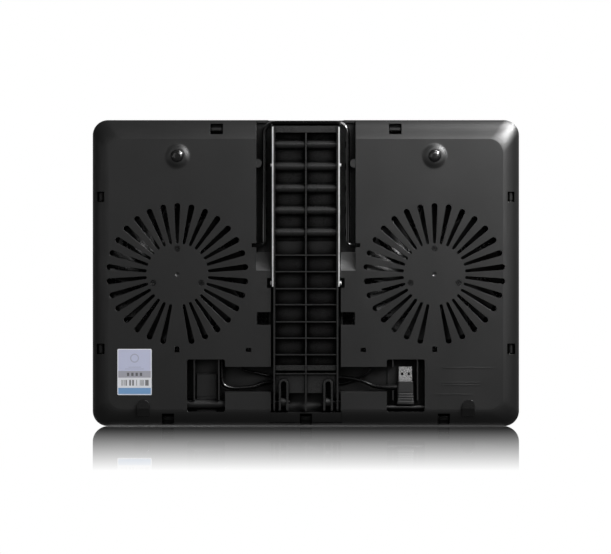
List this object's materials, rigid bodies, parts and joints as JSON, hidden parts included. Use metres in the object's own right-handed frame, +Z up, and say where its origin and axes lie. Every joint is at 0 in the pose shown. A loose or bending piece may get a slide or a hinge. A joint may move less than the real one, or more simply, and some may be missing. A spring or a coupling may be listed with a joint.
{
  "type": "laptop cooling pad",
  "caption": "Flat laptop cooling pad with a perforated metal deck, fans behind radial grilles, and a ribbed swing-out stand arm propped by a wire in notches.",
  "frame": {"origin": "centre of the outline, on the plane the feet rest on", "axes": "+Z up through the deck, +Y towards the rear edge where the prop wire's crossbar lies, +X across the width; the stand arm's hinge is near the front edge, at -Y"},
  "size_m": [0.39, 0.28, 0.028],
  "materials": {
    "shell_plastic": "fine-textured black ABS, satin",
    "arm_plastic": "black glass-filled nylon, satin",
    "frame_plastic": "fine-textured black ABS, satin",
    "deck_metal": "black powder-coated perforated steel",
    "grip_rubber": "soft black rubber",
    "foot_plastic": "hard black plastic, semi-gloss",
    "rail_steel": "bright nickel-plated steel",
    "pin_steel": "bright steel",
    "wire_gloss": "gloss black coated steel wire",
    "label_film": "printed plastic film, pale",
    "screw_steel": "black zinc-plated steel",
    "motor_plastic": "moulded black PBT",
    "bearing_brass": "sintered bronze",
    "core_steel": "laminated steel",
    "copper": "enamelled copper wire",
    "board": "green circuit board",
    "cable_pvc": "black PVC",
    "plug_plastic": "black moulded plug, semi-gloss",
    "plug_metal": "nickel-plated steel",
    "contact_gold": "gold-plated contact",
    "insulator": "white insulator",
    "fan_plastic": "black fan plastic, semi-gloss",
    "cup_steel": "drawn steel",
    "magnet": "rubber-bonded ferrite"
  },
  "bodies": {
    "base": {"base_shell": "shell_plastic", "top_frame": "frame_plastic", "mesh_panel": "deck_metal", "grip_strips": "grip_rubber", "rear_feet": "foot_plastic", "front_feet": "foot_plastic", "hinge_pins": "pin_steel", "rating_label": "label_film", "fan_screws": "screw_steel", "motor_base_left": "motor_plastic", "bearing_left": "bearing_brass", "stator_core_left": "core_steel", "stator_coils_left": "copper", "fan_board_left": "board", "fan_lead_left": "cable_pvc", "motor_base_right": "motor_plastic", "bearing_right": "bearing_brass", "stator_core_right": "core_steel", "stator_coils_right": "copper", "fan_board_right": "board", "fan_lead_right": "cable_pvc", "lead_splice": "cable_pvc", "usb_cable": "cable_pvc", "usb_plug_housing": "plug_plastic", "usb_plug_shell": "plug_metal", "usb_plug_tongue": "insulator", "usb_plug_contacts": "contact_gold", "usb_socket_shell": "plug_metal", "usb_socket_tongue": "insulator"},
    "stand_arm": {"stand_arm": "arm_plastic", "arm_rail_left": "rail_steel", "arm_rail_right": "rail_steel", "rail_rivets": "pin_steel"},
    "prop_wire": {"prop_wire": "wire_gloss"},
    "rotor_left": {"impeller_left": "fan_plastic", "rotor_cup_left": "cup_steel", "magnet_ring_left": "magnet", "shaft_left": "pin_steel"},
    "rotor_right": {"impeller_right": "fan_plastic", "rotor_cup_right": "cup_steel", "magnet_ring_right": "magnet", "shaft_right": "pin_steel"}
  },
  "joints": [
    {"name": "arm_hinge", "type": "hinge", "parent": "base", "child": "stand_arm", "pos_m": [0, -0.1177, 0.008], "axis": [-1, 0, 0], "range_deg": [0, 43.74]},
    {"name": "prop_swing", "type": "hinge", "parent": "base", "child": "prop_wire", "pos_m": [0, 0.0255, 0.008], "axis": [-1, 0, 0], "range_deg": [0, 106.25]},
    {"name": "fan_spin_left", "type": "hinge", "parent": "base", "child": "rotor_left", "pos_m": [0.1174, -0.001, 0.014], "axis": [0, 0, 1], "continuous": true},
    {"name": "fan_spin_right", "type": "hinge", "parent": "base", "child": "rotor_right", "pos_m": [-0.1174, -0.001, 0.014], "axis": [0, 0, 1], "continuous": true}
  ]
}
